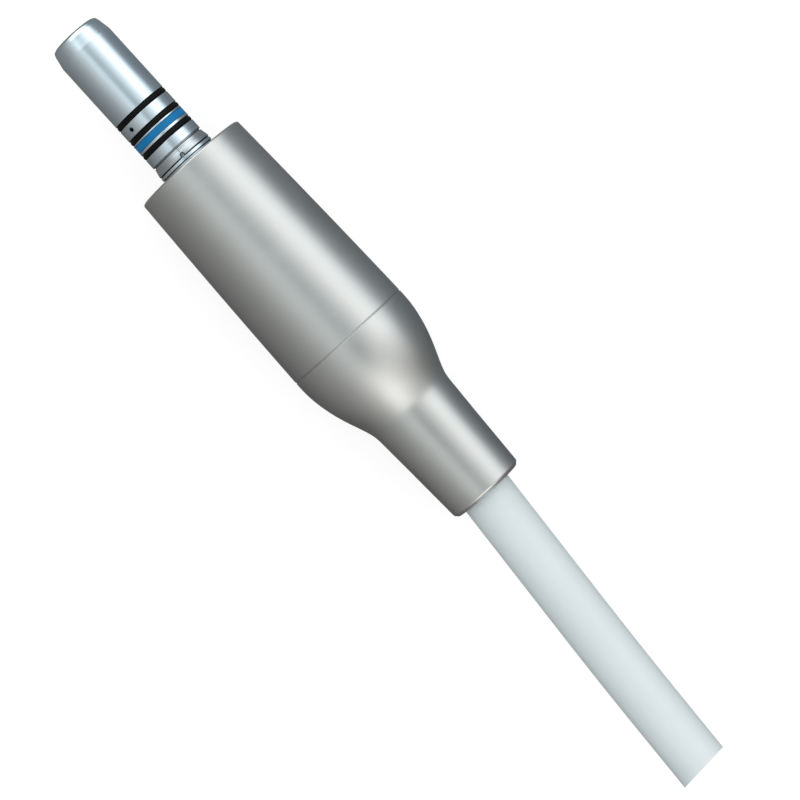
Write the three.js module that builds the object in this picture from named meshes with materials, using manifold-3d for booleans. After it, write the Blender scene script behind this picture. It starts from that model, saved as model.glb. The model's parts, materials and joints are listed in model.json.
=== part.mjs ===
// Dental electric micromotor with a quick-connect nose and a short length of hose.
// Millimetres. The motor's axis is X: the nose points to -X, the hose leaves towards +X, +Z is up.
// X is written from the barrel's flat front face, where a handpiece stops. The whole assembly is
// then moved by ORIGIN_X, so that its origin is the middle of its length, on the motor's axis.
// Angles "phi" are in degrees about X, from +Z towards -Y. Profiles are lists of [x, radius].
import * as THREE from 'three';
import { mergeVertices } from 'three/addons/utils/BufferGeometryUtils.js';
import Module from 'manifold-3d';

const wasm = await Module();
wasm.setup();

// ---------------------------------------------------------------- shared dimensions
const ORIGIN_X = 47.394; // from the barrel's front face to the middle of the whole length
const BEARING_OUTER_R = 4;
const FRONT_BEARING_X = 3.4;
const REAR_BEARING_X = 26.9;

const WATER_PHI = 42;
const AIR_PHI = 222;
const FLUID_PHI = [WATER_PHI, AIR_PHI];
const TUBE_STATOR_R = 7.7; // the fluid tubes' distance from the axis, beside the stator
const PLUG_R = 5.9; // the same for tubes and contact pins, at the hose plug
const PIN_PHI = [87, 132, 177, 267, 312];
const LONG_PINS = 3; // the first pins, which reach forward through the rear end bell

const THREAD_PITCH = 1.25;
const THREAD_REF_X = 36.5; // axial place of the thread's middle at phi = 0
const THREAD_STEPS = 24; // facets in a turn, shared by the thread and the walls it is cut in

// ---------------------------------------------------------------- materials
const LOOK = {
  steel: { color: 0xc9cfd3, roughness: 0.18, metalness: 1 },
  satin: { color: 0xb9bbb8, roughness: 0.42, metalness: 0.9 },
  bearingSteel: { color: 0xb8bcc0, roughness: 0.2, metalness: 1 },
  brass: { color: 0xc9a24a, roughness: 0.3, metalness: 1 },
  core: { color: 0x6d7076, roughness: 0.5, metalness: 0.8 },
  coil: { color: 0xb06a2c, roughness: 0.35, metalness: 0.7 },
  magnet: { color: 0x55585c, roughness: 0.4, metalness: 0.8 },
  endBell: { color: 0xa9adb0, roughness: 0.45, metalness: 0.9 },
  threadRing: { color: 0xaeb3b6, roughness: 0.35, metalness: 0.95 },
  plug: { color: 0x8f9498, roughness: 0.4, metalness: 0.9 },
  blueRing: { color: 0x1673b9, roughness: 0.4, metalness: 0.1 },
  rubber: { color: 0x1c1c20, roughness: 0.7, metalness: 0 },
  cage: { color: 0x7a4a24, roughness: 0.6, metalness: 0 },
  connector: { color: 0x2b2d30, roughness: 0.5, metalness: 0 },
  lens: { color: 0xeef4f6, roughness: 0.05, metalness: 0 },
  lightBody: { color: 0xe8e2c8, roughness: 0.5, metalness: 0 },
  hose: { color: 0xd3dbdf, roughness: 0.45, metalness: 0 },
  waterLine: { color: 0x7fb4d8, roughness: 0.4, metalness: 0 },
  airLine: { color: 0xe6e6e2, roughness: 0.4, metalness: 0 },
  cable: { color: 0x3a3c40, roughness: 0.6, metalness: 0 },
};

const root = new THREE.Group();
function add(name, geometry, look, parent = root) {
  const mesh = new THREE.Mesh(geometry, new THREE.MeshStandardMaterial(look));
  mesh.name = name;
  parent.add(mesh);
  return mesh;
}

// ---------------------------------------------------------------- geometry helpers
const rad = (deg) => (deg * Math.PI) / 180;
const yzAt = (phi, radius) => [-radius * Math.sin(rad(phi)), radius * Math.cos(rad(phi))];

// Positions only, shared vertices merged, collapsed faces dropped, faces turned to point out.
function closed(source) {
  let geometry = source.clone();
  for (const name of Object.keys(geometry.attributes)) {
    if (name !== 'position') geometry.deleteAttribute(name);
  }
  geometry.clearGroups();
  geometry = mergeVertices(geometry, 1e-5);
  const corners = [new THREE.Vector3(), new THREE.Vector3(), new THREE.Vector3()];
  const index = [];
  let volume = 0;
  for (let i = 0; i < geometry.index.count; i += 3) {
    const face = [0, 1, 2].map((k) => geometry.index.getX(i + k));
    if (new Set(face).size < 3) continue;
    index.push(...face);
    corners.forEach((corner, k) => corner.fromBufferAttribute(geometry.attributes.position, face[k]));
    volume += corners[0].dot(corners[1].cross(corners[2]));
  }
  if (volume < 0) {
    for (let i = 0; i < index.length; i += 3) [index[i], index[i + 1]] = [index[i + 1], index[i]];
  }
  geometry.setIndex(index);
  return geometry;
}

// A body of revolution about X. The profile starts and ends on the axis, or is closed here.
function turned(profile, segments) {
  const points = profile.map(([x, radius]) => new THREE.Vector2(radius, x));
  const onAxis = profile[0][1] === 0 && profile.at(-1)[1] === 0;
  if (!onAxis) points.push(points[0].clone());
  return closed(new THREE.LatheGeometry(points, segments).rotateZ(-Math.PI / 2));
}

// A plain ring or tube about X.
const tube = (x0, x1, innerR, outerR, segments) =>
  turned([[x0, innerR], [x0, outerR], [x1, outerR], [x1, innerR]], segments);

// A plain rod parallel to X, at a distance from the axis.
function rodAt(x0, x1, phi, distance, rodR, segments) {
  const rod = new THREE.CylinderGeometry(rodR, rodR, x1 - x0, segments);
  rod.rotateZ(-Math.PI / 2);
  return closed(rod.translate((x0 + x1) / 2, ...yzAt(phi, distance)));
}
const rodsAt = (x0, x1, phis, distance, rodR, segments) =>
  phis.map((phi) => rodAt(x0, x1, phi, distance, rodR, segments));

// A plain rod that points out from the axis at phi, between two distances from it.
function rodOut(x, phi, from, to, rodR, segments) {
  const rod = new THREE.CylinderGeometry(rodR, rodR, to - from, segments);
  rod.rotateX(Math.PI / 2);
  rod.translate(0, 0, (from + to) / 2);
  rod.rotateX(rad(phi));
  return closed(rod.translate(x, 0, 0));
}

function block(x0, x1, y0, y1, z0, z1) {
  const box = new THREE.BoxGeometry(x1 - x0, y1 - y0, z1 - z0);
  return closed(box.translate((x0 + x1) / 2, (y0 + y1) / 2, (z0 + z1) / 2));
}

// Rings with the same count of points joined into a closed body. With inner rings the body is
// hollow and open at both ends, unless startPoles gives the points that close the start of the
// outer and the inner skin.
function loft(outer, inner = null, startPoles = null) {
  const positions = [];
  const index = [];
  const count = outer[0].length;
  const put = (ring) => {
    const start = positions.length / 3;
    for (const point of ring) positions.push(point.x, point.y, point.z);
    return start;
  };
  const skin = (a, b, flip) => {
    for (let i = 0; i < count; i++) {
      const j = (i + 1) % count;
      const quad = flip ? [a + i, a + j, b + j, b + i] : [a + j, a + i, b + i, b + j];
      index.push(quad[0], quad[1], quad[2], quad[0], quad[2], quad[3]);
    }
  };
  const skins = (starts, flip) => {
    for (let k = 0; k + 1 < starts.length; k++) skin(starts[k], starts[k + 1], flip);
  };
  const cap = (start, pole, flip) => {
    const centre = put([pole]);
    for (let i = 0; i < count; i++) {
      const j = (i + 1) % count;
      index.push(centre, start + (flip ? i : j), start + (flip ? j : i));
    }
  };
  const middle = (ring) =>
    ring.reduce((sum, point) => sum.add(point), new THREE.Vector3()).divideScalar(ring.length);

  const outerStarts = outer.map(put);
  skins(outerStarts, false);
  if (inner) {
    const innerStarts = inner.map(put);
    skins(innerStarts, true);
    skin(outerStarts.at(-1), innerStarts.at(-1), false);
    if (startPoles) {
      cap(outerStarts[0], startPoles[0], true);
      cap(innerStarts[0], startPoles[1], false);
    } else {
      skin(outerStarts[0], innerStarts[0], true);
    }
  } else {
    cap(outerStarts[0], middle(outer[0]), true);
    cap(outerStarts.at(-1), middle(outer.at(-1)), false);
  }
  const geometry = new THREE.BufferGeometry();
  geometry.setAttribute('position', new THREE.Float32BufferAttribute(positions, 3));
  geometry.setIndex(index);
  return closed(geometry);
}

// Points on a circle, in the plane of two unit vectors.
const circle = (centre, axisU, axisV, radius, count) => Array.from({ length: count }, (_, i) => {
  const angle = (2 * Math.PI * i) / count;
  return centre.clone()
    .addScaledVector(axisU, radius * Math.cos(angle))
    .addScaledVector(axisV, radius * Math.sin(angle));
});

const solid = (geometry) => new wasm.Manifold(new wasm.Mesh({
  numProp: 3,
  vertProperties: new Float32Array(geometry.attributes.position.array),
  triVerts: new Uint32Array(geometry.index.array),
}));
function toGeometry(manifold) {
  const mesh = manifold.getMesh();
  const geometry = new THREE.BufferGeometry();
  geometry.setAttribute('position', new THREE.BufferAttribute(mesh.vertProperties, 3));
  geometry.setIndex(new THREE.BufferAttribute(mesh.triVerts, 1));
  return closed(geometry);
}
const cut = (body, ...tools) =>
  toGeometry(tools.reduce((rest, tool) => rest.subtract(solid(tool)), solid(body)));
const join = (body, other) => toGeometry(solid(body).add(solid(other)));

// A helical ridge about X: a trapezoid swept along a right-hand thread, between two turn counts.
function ridge({ fromTurn, toTurn, rootR, crestR, rootHalf, crestHalf }) {
  const rings = [];
  const lastStep = Math.round(toTurn * THREAD_STEPS);
  for (let i = Math.round(fromTurn * THREAD_STEPS); i <= lastStep; i++) {
    const phi = (360 * i) / THREAD_STEPS;
    const x = THREAD_REF_X + (THREAD_PITCH * i) / THREAD_STEPS;
    const corner = (offset, radius) => new THREE.Vector3(x + offset, ...yzAt(phi, radius));
    rings.push([
      corner(-rootHalf, rootR), corner(-crestHalf, crestR),
      corner(crestHalf, crestR), corner(rootHalf, rootR),
    ]);
  }
  return loft(rings);
}

// ---------------------------------------------------------------- coupling nose
const NOSE_R = 4.7;
const NOSE_TIP_X = -25.98;
const NOSE_BORE_R = 2.6;
const NOSE_FOOT_R = 4.86;
const MOTOR_FLANGE_R = 8.66;
const FLANGE_END_X = 7.6;
const BEARING_SEAT_GAP = 0.05;
const BEARING_SEAT_R = BEARING_OUTER_R + BEARING_SEAT_GAP;
const BEARING_SEAT_X = FRONT_BEARING_X - BEARING_SEAT_GAP;
const ORING = {
  x: { front: -10.85, middle: -7.94, rear: -5.12 },
  ringR: 4.26, tubeR: 0.45, grooveR: 3.76, grooveHalf: 0.47,
};
const BLUE_RING = { x0: -7.18, x1: -6.06, innerR: 3.92, grooveR: 3.82, sideGap: 0.04 };

const groove = (x, radius, half) =>
  [[x - half, NOSE_R], [x - half, radius], [x + half, radius], [x + half, NOSE_R]];
const oringGroove = (x) => groove(x, ORING.grooveR, ORING.grooveHalf);
const NOSE_PROFILE = [
  [NOSE_TIP_X, NOSE_BORE_R + 0.15], [NOSE_TIP_X, 3.55],
  [-25.82, 3.97], [-25.5, 4.21], [-25.1, 4.33], [-23.2, NOSE_R],
  ...oringGroove(ORING.x.front),
  ...oringGroove(ORING.x.middle),
  ...groove((BLUE_RING.x0 + BLUE_RING.x1) / 2, BLUE_RING.grooveR,
    (BLUE_RING.x1 - BLUE_RING.x0) / 2 + BLUE_RING.sideGap),
  ...oringGroove(ORING.x.rear),
  [-3.03, NOSE_R], [-3.03, 4.45], [-2.8, 4.45], [-2.8, 4.2], [-1.08, 4.2], [-1.08, NOSE_FOOT_R],
  [-0.6, NOSE_FOOT_R], [-0.6, 4.6], [-0.42, 4.6], [-0.42, NOSE_FOOT_R],
  [1.65, NOSE_FOOT_R], [1.65, MOTOR_FLANGE_R], [FLANGE_END_X, MOTOR_FLANGE_R],
  [FLANGE_END_X, BEARING_SEAT_R], [BEARING_SEAT_X, BEARING_SEAT_R],
  [BEARING_SEAT_X, NOSE_BORE_R], [NOSE_TIP_X + 0.15, NOSE_BORE_R],
];

// Port in the nose wall, passage back along the wall, passage outwards, then the tube's seat.
const PASSAGE_R = 3.2; // distance of the passage from the axis
const PASSAGE_END_X = 2.5;
const FLUID_CUT_END_X = FLANGE_END_X + 0.2;
const fluidPassage = (portX, phi) => [
  rodOut(portX, phi, PASSAGE_R - 0.05, 5.2, 0.36, 8),
  rodAt(portX - 0.1, PASSAGE_END_X + 0.1, phi, PASSAGE_R, 0.28, 8),
  rodOut(PASSAGE_END_X, phi, PASSAGE_R - 0.1, TUBE_STATOR_R + 0.1, 0.3, 8),
  rodAt(PASSAGE_END_X - 0.1, FLUID_CUT_END_X, phi, TUBE_STATOR_R, 0.32, 8),
  rodAt(6.6, FLUID_CUT_END_X, phi, TUBE_STATOR_R, 0.6, 8),
];
const LAMP_PHI = 180;
const LAMP_DISTANCE = 3.3;
add('coupling_nose', cut(
  turned(NOSE_PROFILE, 24),
  ...fluidPassage(-9.38, WATER_PHI),
  ...fluidPassage(-3.85, AIR_PHI),
  rodAt(-26.6, -20.3, LAMP_PHI, LAMP_DISTANCE, 0.52, 10),
), LOOK.steel);

for (const [place, x] of Object.entries(ORING.x)) {
  const torus = new THREE.TorusGeometry(ORING.ringR, ORING.tubeR, 6, 20).rotateY(Math.PI / 2);
  add(`oring_${place}`, closed(torus), LOOK.rubber).position.x = x;
}
add('blue_ring', tube(BLUE_RING.x0, BLUE_RING.x1, BLUE_RING.innerR, NOSE_R - 0.02, 22), LOOK.blueRing);

// Split ring at the foot of the nose; its gap, at +Z, widens to a small notch next to the barrel.
const SPLIT_EDGE = [[-3.1, 0.08], [-1.86, 0.08], [-1.72, 0.38], [-1.1, 0.42]]; // x, half width
function splitTool() {
  const outline = new THREE.Shape([
    ...SPLIT_EDGE.map(([x, half]) => new THREE.Vector2(x, -half)),
    ...SPLIT_EDGE.map(([x, half]) => new THREE.Vector2(x, half)).reverse(),
  ]);
  const prism = new THREE.ExtrudeGeometry(outline, { depth: 3, steps: 1, bevelEnabled: false });
  return closed(prism.translate(0, 0, 3.2));
}
add('retaining_ring', cut(turned([
  [-2.72, 4.28], [-2.72, 4.62], [-2.2, 4.72], [-1.6, 4.87], [-1.32, 4.9], [-1.22, 4.82],
  [-1.22, 4.28],
], 22), splitTool()), LOOK.steel);

const LENS_PROFILE = [[-25.8, 0], [-25.75, 0.22], [-25.55, 0.4], [-24.3, 0.4], [-24.3, 0]];
const lens = turned(LENS_PROFILE, 10).translate(0, ...yzAt(LAMP_PHI, LAMP_DISTANCE));
add('light_lens', lens, LOOK.lens);
add('light_body', rodAt(-24.2, -20.6, LAMP_PHI, LAMP_DISTANCE, 0.42, 8), LOOK.lightBody);

// ---------------------------------------------------------------- handle barrel
const BARREL_LENGTH = 35.2;
const BARREL_BORE_R = 8.8;
const BARREL_MOUTH_R = 4.95; // hole in the front wall
const BARREL_WALL_X = 1.5; // back of the front wall
add('handle_barrel', turned([
  [0, BARREL_MOUTH_R], [0, 9.1], [0.14, 9.36], [0.45, 9.55], [7.6, 9.8], [15.2, 10.03],
  [22.7, 10.27], [30.3, 10.42], [35.05, 10.52], [BARREL_LENGTH, 10.44],
  [BARREL_LENGTH, BARREL_BORE_R], [BARREL_WALL_X, BARREL_BORE_R], [BARREL_WALL_X, BARREL_MOUTH_R],
], 32), LOOK.satin);

// ---------------------------------------------------------------- bearings
const BEARING_BORE_R = 1.53;
const BEARING_WIDTH = 4;
const BEARING_MID = BEARING_WIDTH / 2;
const OUTER_LAND_R = 3.3; // inside of the outer race
const INNER_LAND_R = 2.12; // outside of the inner race
const BALL_R = 0.75;
const BALL_PITCH_R = 2.72;
const BALL_COUNT = 7;
const ballPhis = Array.from({ length: BALL_COUNT }, (_, k) => (360 * k) / BALL_COUNT);
const raceTrack = (landR, floorR) => [
  [0, landR], [BEARING_MID - 0.58, landR], [BEARING_MID - 0.25, floorR],
  [BEARING_MID + 0.25, floorR], [BEARING_MID + 0.58, landR], [BEARING_WIDTH, landR],
];

function addBearing(place, x) {
  const group = new THREE.Group();
  group.position.x = x;
  root.add(group);
  const addPart = (part, geometry, look) => add(`${place}_bearing_${part}`, geometry, look, group);
  addPart('outer_race', turned([
    ...raceTrack(OUTER_LAND_R, 3.53), [BEARING_WIDTH, BEARING_OUTER_R], [0, BEARING_OUTER_R],
  ], 20), LOOK.bearingSteel);
  addPart('inner_race', turned([
    [0, BEARING_BORE_R], ...raceTrack(INNER_LAND_R, 1.92), [BEARING_WIDTH, BEARING_BORE_R],
  ], 20), LOOK.bearingSteel);
  const pockets = ballPhis.map((phi) => rodOut(BEARING_MID, phi, 1.6, 3.8, 0.84, 8));
  const cageBody = tube(BEARING_MID - 1.15, BEARING_MID + 1.15, 2.3, 3.1, 21);
  addPart('cage', cut(cageBody, ...pockets), LOOK.cage);
  ballPhis.forEach((phi, k) => {
    const sphere = closed(new THREE.IcosahedronGeometry(BALL_R, 1));
    const ball = addPart(`ball_${k + 1}`, sphere, LOOK.bearingSteel);
    ball.position.set(BEARING_MID, ...yzAt(phi, BALL_PITCH_R));
  });
}
addBearing('front', FRONT_BEARING_X);
addBearing('rear', REAR_BEARING_X);

// ---------------------------------------------------------------- motor
const CORE_X0 = 9.6;
const ROTOR_BORE_R = 2.02;
const ROTOR_RING_R = 4.5;
const SHAFT_R = 1.5; // at the bearings
const SHAFT_CORE_R = 1.95; // inside the magnet
const CROSS_PIN_X = -15; // pin through the shaft that turns the drive dog

const tubeSlot = (phi) => block(8, 28, -0.64, 0.64, 7.05, 9.5).rotateX(rad(phi));
add('stator_core', cut(tube(CORE_X0, 24.4, 6.6, 8.6, 28), ...FLUID_PHI.map(tubeSlot)), LOOK.core);
add('stator_coil', turned([
  [8.2, 5.5], [8.2, 7], [9.3, 7], [9.3, 6.5], [24.7, 6.5], [24.7, 7], [25.9, 7], [25.9, 5.5],
  [24.7, 5.1], [9.3, 5.1],
], 22), LOOK.coil);
add('rotor_magnet', tube(CORE_X0, 24.2, ROTOR_BORE_R, 4.75, 24), LOOK.magnet);
add('rotor_front_ring', tube(8.85, 9.5, ROTOR_BORE_R, ROTOR_RING_R, 18), LOOK.brass);
add('rotor_rear_ring', tube(24.3, 24.95, ROTOR_BORE_R, ROTOR_RING_R, 18), LOOK.brass);
add('rotor_shaft', cut(turned([
  [-16.5, 0], [-16.5, 1.35], [-16.35, SHAFT_R], [7.5, SHAFT_R], [7.5, 2.15], [8.7, 2.15],
  [8.7, SHAFT_CORE_R], [26.8, SHAFT_CORE_R], [26.8, SHAFT_R], [31.15, SHAFT_R], [31.3, 1.35],
  [31.3, 0],
], 18), rodOut(CROSS_PIN_X, 0, -3, 3, 0.4, 8)), LOOK.bearingSteel);

// A thin flat ring bent into waves round its circumference.
function wavyWasher() {
  const waves = 3;
  const amplitude = 0.11;
  const washer = tube(31.12, 31.28, 3, 3.9, 18);
  const points = washer.attributes.position;
  for (let i = 0; i < points.count; i++) {
    const angle = Math.atan2(points.getY(i), points.getZ(i));
    points.setX(i, points.getX(i) + amplitude * Math.cos(waves * angle));
  }
  return washer;
}
add('preload_washer', wavyWasher(), LOOK.bearingSteel);
add('rear_end_bell', cut(
  turned([
    [26.6, 4.05], [26.6, 8.7], [28.4, 8.7], [28.4, 4.95], [32.2, 4.95], [32.2, 2.2],
    [31.5, 2.2], [31.5, 4.05],
  ], 26),
  ...rodsAt(26, 29, FLUID_PHI, TUBE_STATOR_R, 0.6, 8),
  ...rodsAt(26, 29, PIN_PHI.slice(0, LONG_PINS), PLUG_R, 0.38, 6),
), LOOK.endBell);

// ---------------------------------------------------------------- drive dog in the nose bore
const DOG_SLIDE = 1.5; // travel of the drive dog
const PIN_SLOT_END = 0.45; // room in the slot on each side of the pin's centre
add('drive_dog', cut(
  turned([
    [-23.5, 0.8], [-23.5, 1.95], [-23.35, 2.1], [-13.1, 2.1], [-13, 2], [-13, 1.58],
    [-20, 1.58], [-20, 0], [-20.6, 0], [-20.6, 0.8],
  ], 20),
  block(-24, -21.6, -0.6, 0.6, -3, 3), // fork that drives the handpiece
  block(CROSS_PIN_X - DOG_SLIDE - PIN_SLOT_END, CROSS_PIN_X + PIN_SLOT_END, -0.42, 0.42, -3, 3),
), LOOK.bearingSteel);
add('drive_pin', rodOut(CROSS_PIN_X, 0, -1.95, 1.95, 0.35, 8), LOOK.bearingSteel);

function coilSpring({ x0, x1, turns, stepsPerTurn, coilR, wireR }) {
  const steps = turns * stepsPerTurn;
  const axis = new THREE.Vector3(1, 0, 0);
  const rings = [];
  for (let i = 0; i <= steps; i++) {
    const angle = (2 * Math.PI * i) / stepsPerTurn;
    const out = new THREE.Vector3(0, Math.cos(angle), Math.sin(angle));
    const centre = out.clone().multiplyScalar(coilR).setX(x0 + ((x1 - x0) * i) / steps);
    rings.push(circle(centre, out, axis, wireR, 4));
  }
  return loft(rings);
}
add('drive_spring', coilSpring({
  x0: -19.8, x1: -16.7, turns: 4, stepsPerTurn: 9, coilR: 1.2, wireR: 0.15,
}), LOOK.bearingSteel);

// ---------------------------------------------------------------- fluid tubes
// Straight beside the stator, then an S-bend towards the axis, then straight into the hose plug.
const BEND_X = 28.9;
const BEND_LENGTH = 3.7;
const BEND_STEPS = 6;
const tubeLine = [[6.75, 0]]; // x, share of the bend done
for (let k = 0; k <= BEND_STEPS; k++) {
  const done = (1 - Math.cos((Math.PI * k) / BEND_STEPS)) / 2;
  tubeLine.push([BEND_X + BEND_LENGTH * (k / BEND_STEPS), done]);
}
tubeLine.push([40.4, 1]);

function fluidTube(phi) {
  const [outY, outZ] = yzAt(phi, 1);
  const out = new THREE.Vector3(0, outY, outZ);
  const across = new THREE.Vector3(0, -outZ, outY);
  const shift = PLUG_R - TUBE_STATOR_R;
  const rings = (radius) => tubeLine.map(([x, done], k) => {
    const before = tubeLine[Math.max(0, k - 1)];
    const after = tubeLine[Math.min(tubeLine.length - 1, k + 1)];
    const slope = (shift * (after[1] - before[1])) / (after[0] - before[0]);
    const along = new THREE.Vector3(1, 0, 0).addScaledVector(out, slope).normalize();
    const centre = out.clone().multiplyScalar(TUBE_STATOR_R + shift * done).setX(x);
    const normal = new THREE.Vector3().crossVectors(across, along).normalize();
    return circle(centre, normal, across, radius, 7);
  });
  return loft(rings(0.5), rings(0.3));
}
add('water_tube', fluidTube(WATER_PHI), LOOK.bearingSteel);
add('air_tube', fluidTube(AIR_PHI), LOOK.bearingSteel);

// ---------------------------------------------------------------- motor tail
add('thread_ring', join(
  turned([
    [32.4, 7.2], [32.4, 8.7], [35.12, 8.7], [35.12, 8.25], [40.65, 8.25], [40.8, 8.1], [40.8, 7.2],
  ], THREAD_STEPS),
  ridge({ fromTurn: 0, toTurn: 2.25, rootR: 8, crestR: 8.75, rootHalf: 0.34, crestHalf: 0.14 }),
), LOOK.threadRing);

const tailHoles = [
  ...rodsAt(32, 39, PIN_PHI, PLUG_R, 0.56, 7),
  ...rodsAt(32, 39, FLUID_PHI, PLUG_R, 0.62, 7),
];
const connectorBody = turned([[33, 0], [33, 7.1], [37.5, 7.1], [37.5, 0]], 26);
add('connector_block', cut(connectorBody, ...tailHoles), LOOK.connector);
add('interface_seal', cut(tube(37.55, 38.05, 1.2, 6.9, 22), ...tailHoles), LOOK.rubber);

const PIN_R = 0.45;
const PIN_THIN_R = 0.25; // the pin's front tail and its rear tip
PIN_PHI.forEach((phi, k) => {
  const frontX = k < LONG_PINS ? 26.15 : 33.2;
  const pin = turned([
    [frontX, 0], [frontX, PIN_THIN_R], [33.4, PIN_THIN_R], [33.4, PIN_R],
    [40.45, PIN_R], [40.7, PIN_THIN_R], [40.7, 0],
  ], 8);
  add(`contact_pin_${k + 1}`, pin, LOOK.brass).position.set(0, ...yzAt(phi, PLUG_R));
});

// ---------------------------------------------------------------- coupling sleeve
const SLEEVE_X0 = 35.35;
const SLEEVE_X1 = 66.7;
const SLEEVE_PROFILE = [
  // outside, front to rear
  [SLEEVE_X0, 8.4], [SLEEVE_X0, 10.45], [35.5, 10.54], [36.5, 10.55], [39.3, 10.35],
  [40.8, 10.03], [42.4, 9.68], [43.9, 9.2], [45.4, 8.6], [46.9, 8], [48.4, 7.43], [49.3, 7.2],
  [50.4, 7.06], [57.5, 6.75], [65.95, 6.35], [66.25, 6.17], [SLEEVE_X1, 5.75],
  // bore, rear to front
  [SLEEVE_X1, 5.5], [65.2, 4.97], [63.8, 4.97], [63.2, 5.5], [51, 5.5], [46.6, 6.3],
  [44.2, 6.3], [44.2, 8], [42.05, 8], [42.05, 8.8], [41.4, 8.8], [41.4, 8.4],
];
const sleeveThread = ridge({
  fromTurn: -1.4, toTurn: 2.55, rootR: 8.15, crestR: 8.92, rootHalf: 0.53, crestHalf: 0.26,
});
add('coupling_sleeve', cut(turned(SLEEVE_PROFILE, THREAD_STEPS), sleeveThread), LOOK.satin);
const snapGap = block(41, 42.5, -0.7, 0.7, -10, -5);
add('snap_ring', cut(tube(41.47, 41.98, 7.25, 8.7, 20), snapGap), LOOK.bearingSteel);

// ---------------------------------------------------------------- hose plug, root and ferrule
const HOSE_R = 4.2;
add('hose_plug', cut(
  turned([
    [38.1, 0], [38.1, 6.75], [38.25, 6.9], [42.15, 6.9], [42.15, 7.85], [44.05, 7.85],
    [44.05, 5.6], [47.5, 4.6], [48.4, 4.6], [48.4, 3.1], [57, 3.1], [57.3, 2.8],
    [57.3, 2.2], [46.2, 2.2], [45.6, 4.3], [43.4, 4.3], [43.4, 6.6], [42.4, 6.6], [42.4, 0],
  ], 20),
  ...rodsAt(37.5, 43, PIN_PHI, PLUG_R, 0.62, 7),
  ...rodsAt(37.5, 43, FLUID_PHI, PLUG_R, 0.7, 7),
), LOOK.plug);
add('hose_root', tube(48.8, 60.4, 3.25, HOSE_R, 20), LOOK.hose);
add('hose_ferrule', turned([
  [48.8, 4.28], [48.8, 4.85], [51.6, 4.85], [52, 4.62], [53.6, 4.62], [54, 4.85],
  [56.6, 4.85], [56.9, 4.6], [56.9, 4.28],
], 20), LOOK.bearingSteel);

// ---------------------------------------------------------------- hose beyond the pivot
// A long easy curve, closed by a half ball at the pivot and cut off by a slanted plane.
const HOSE_BORE_R = 3.35;
const HOSE_PIVOT = new THREE.Vector3(65, -0.22, 0);
const HOSE_LENGTH = 54.6;
const HOSE_TILT = { start: -4.35, end: -3.1 }; // degrees, negative towards -Y
const TILT_FROM = 0.45; // share of the length where the tilt starts to change
const TILT_SPAN = (1 - TILT_FROM) / 1.5; // share of the length over which it changes
const HOSE_STEPS = 8;
const FINE_STEPS = 200;
const HOSE_SIDES = 20;
const DOME_RINGS = 3;
const CUT_POINT = new THREE.Vector3(119.985, -3.94, 0);
const CUT_TURN = rad(4.55); // the cut normal's turn about Z
const CUT_LEAN = rad(9.55); // the cut normal's lean towards +Z
const cutNormal = new THREE.Vector3(
  Math.cos(CUT_LEAN) * Math.cos(CUT_TURN),
  Math.cos(CUT_LEAN) * Math.sin(CUT_TURN),
  Math.sin(CUT_LEAN),
);
const up = new THREE.Vector3(0, 0, 1);

// The centre line, summed in fine steps: a point, its direction and the level side direction.
const hoseLine = [];
const walker = HOSE_PIVOT.clone();
for (let i = 0; i <= FINE_STEPS; i++) {
  const share = THREE.MathUtils.clamp((i / FINE_STEPS - TILT_FROM) / TILT_SPAN, 0, 1);
  const tilt = rad(HOSE_TILT.start + (HOSE_TILT.end - HOSE_TILT.start) * share);
  const along = new THREE.Vector3(Math.cos(tilt), Math.sin(tilt), 0);
  if (i % (FINE_STEPS / HOSE_STEPS) === 0) {
    const side = new THREE.Vector3().crossVectors(up, along);
    hoseLine.push({ point: walker.clone(), along, side });
  }
  walker.addScaledVector(along, HOSE_LENGTH / FINE_STEPS);
}

// Rings along part of the hose line. The last ring is moved along the hose to the cut plane.
function hoseRings(line, radius, sides, sideOffset = 0, upOffset = 0) {
  return line.map(({ point, along, side }, k) => {
    const centre = point.clone().addScaledVector(side, sideOffset).addScaledVector(up, upOffset);
    const ring = circle(centre, side, up, radius, sides);
    if (k < line.length - 1) return ring;
    return ring.map((corner) => {
      const gap = CUT_POINT.clone().sub(corner).dot(cutNormal);
      return corner.addScaledVector(along, gap / along.dot(cutNormal));
    });
  });
}

function hoseJacket() {
  const { point, along, side } = hoseLine[0];
  const behind = (distance) => point.clone().addScaledVector(along, -distance);
  const dome = Array.from({ length: DOME_RINGS }, (_, k) => {
    const angle = (Math.PI / 2) * ((k + 1) / (DOME_RINGS + 1));
    const centre = behind(HOSE_R * Math.cos(angle));
    return circle(centre, side, up, HOSE_R * Math.sin(angle), HOSE_SIDES);
  });
  const outer = [...dome, ...hoseRings(hoseLine, HOSE_R, HOSE_SIDES)];
  return loft(outer, hoseRings(hoseLine, HOSE_BORE_R, HOSE_SIDES), [behind(HOSE_R), point]);
}
add('hose_jacket', hoseJacket(), LOOK.hose);

// A line inside the hose, from its second station on; angle runs from the side direction to +Z.
function innerLine({ outerR, boreR, angle, distance }) {
  const rings = (radius) => hoseRings(hoseLine.slice(1), radius, 7,
    distance * Math.cos(rad(angle)), distance * Math.sin(rad(angle)));
  return loft(rings(outerR), boreR ? rings(boreR) : null);
}
const waterLine = innerLine({ outerR: 0.9, boreR: 0.5, angle: 90, distance: 1.95 });
const airLine = innerLine({ outerR: 1.1, boreR: 0.7, angle: 205, distance: 1.8 });
add('hose_water_line', waterLine, LOOK.waterLine);
add('hose_air_line', airLine, LOOK.airLine);
add('hose_cable', innerLine({ outerR: 1.3, angle: 330, distance: 1.7 }), LOOK.cable);

root.position.x = -ORIGIN_X;

export default root;
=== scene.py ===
"""A handpiece motor: coupling nose, handle barrel, coupling sleeve and a cut-off length of hose.

It lies along the X axis, nose towards -X (front) and hose towards +X (rear), with Z up.
Shapes are written in millimetres, with x measured from the barrel's front face.
"""

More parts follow.
